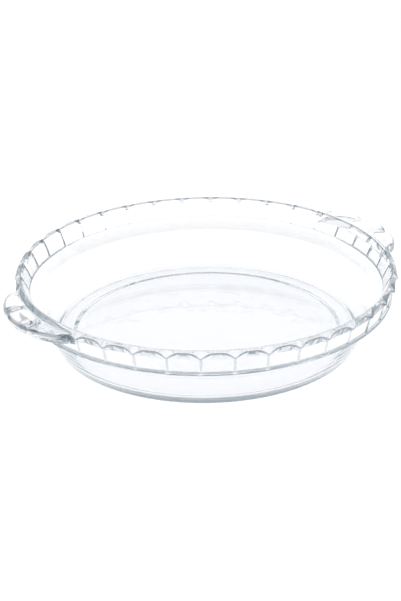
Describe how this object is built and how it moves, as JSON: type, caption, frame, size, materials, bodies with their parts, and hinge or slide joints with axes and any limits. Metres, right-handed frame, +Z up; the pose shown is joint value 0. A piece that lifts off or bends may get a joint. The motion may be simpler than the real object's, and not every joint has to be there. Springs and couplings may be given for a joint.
{
  "type": "round baking dish",
  "caption": "Round clear glass baking dish with a flat floor, sloping wall, fluted rim and two lobed handles, for baking and serving pies and flans.",
  "frame": {"origin": "middle of the underside, on the plane of the resting ring", "axes": "+Z up out of the dish, +X towards the right handle"},
  "size_m": [0.2888, 0.2586, 0.0488],
  "materials": {
    "glass": "clear fire-polished pressed glass, faint cool tint where it is thick"
  },
  "bodies": {
    "root": {"base": "glass", "side_wall": "glass", "fluted_rim": "glass", "handle_right": "glass", "handle_left": "glass"}
  },
  "joints": []
}
